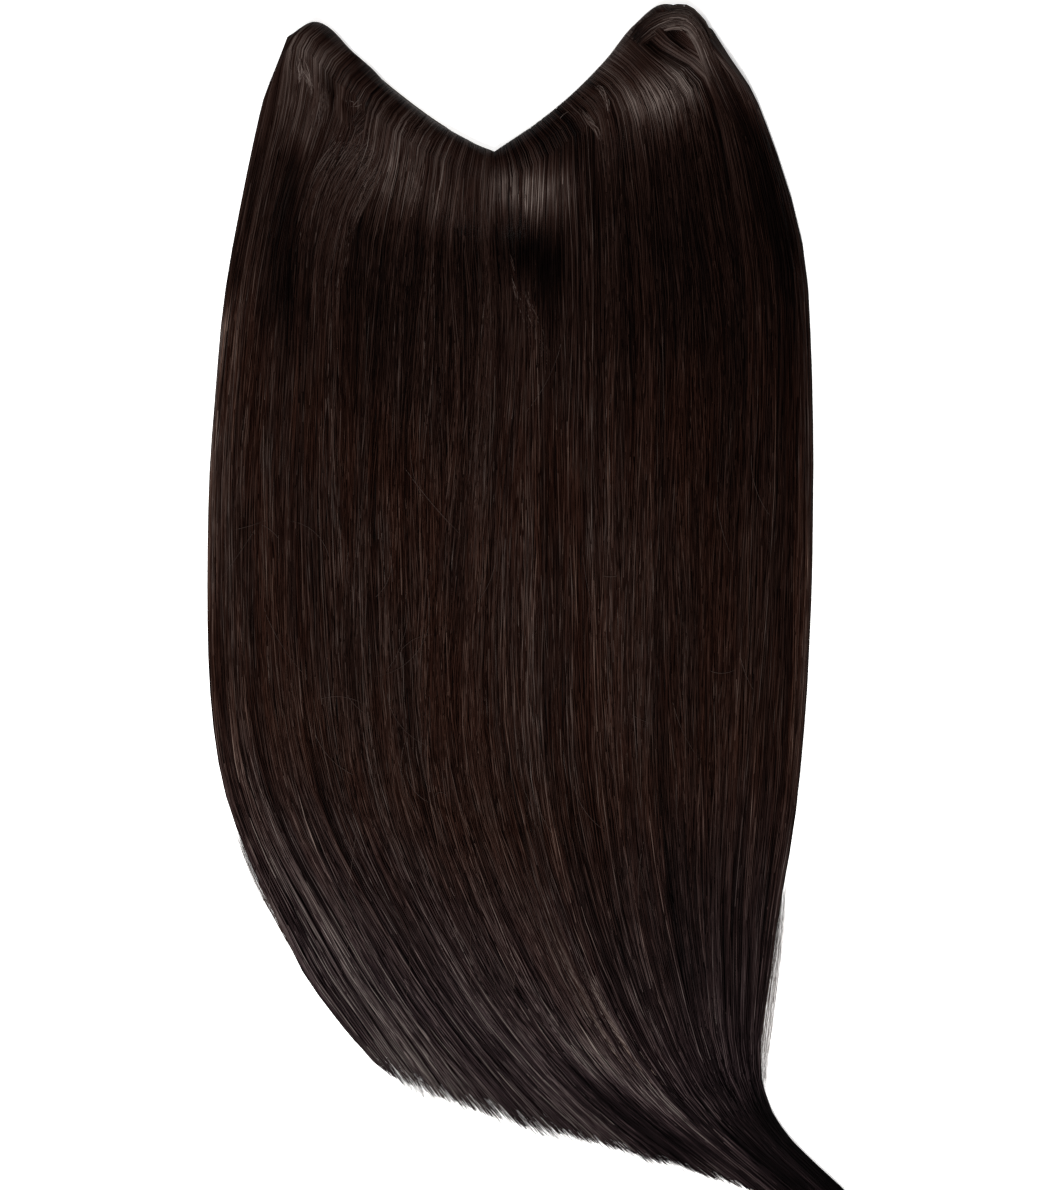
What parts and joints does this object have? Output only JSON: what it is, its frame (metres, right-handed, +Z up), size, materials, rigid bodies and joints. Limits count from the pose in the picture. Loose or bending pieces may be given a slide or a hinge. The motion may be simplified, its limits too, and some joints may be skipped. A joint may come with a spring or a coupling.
{
  "type": "one-piece hair weft",
  "caption": "Dark brown straight hair weft laid flat: hair sewn to a V-shaped band, rolled over at the top, swept to one side at the tips.",
  "frame": {"origin": "on the surface that the weft lies on, below the middle of its box", "axes": "+X across the hair towards the tail, +Y from the tips to the band, +Z up out of the surface"},
  "size_m": [0.3254, 0.6002, 0.018],
  "materials": {
    "band": "sewn weft band of dark woven ribbon, matt, with dense machine stitching",
    "hair_wing": "straight dark brown hair, soft satin sheen across the strands",
    "hair_panel": "straight dark brown hair, soft satin sheen across the strands",
    "hair_centre": "straight dark brown hair, soft satin sheen across the strands"
  },
  "bodies": {
    "root": {"weft_band": "band", "hair_left_wing": "hair_wing", "hair_left_panel": "hair_panel", "hair_centre_panel": "hair_centre", "hair_right_panel": "hair_panel", "hair_right_wing": "hair_wing"}
  },
  "joints": []
}
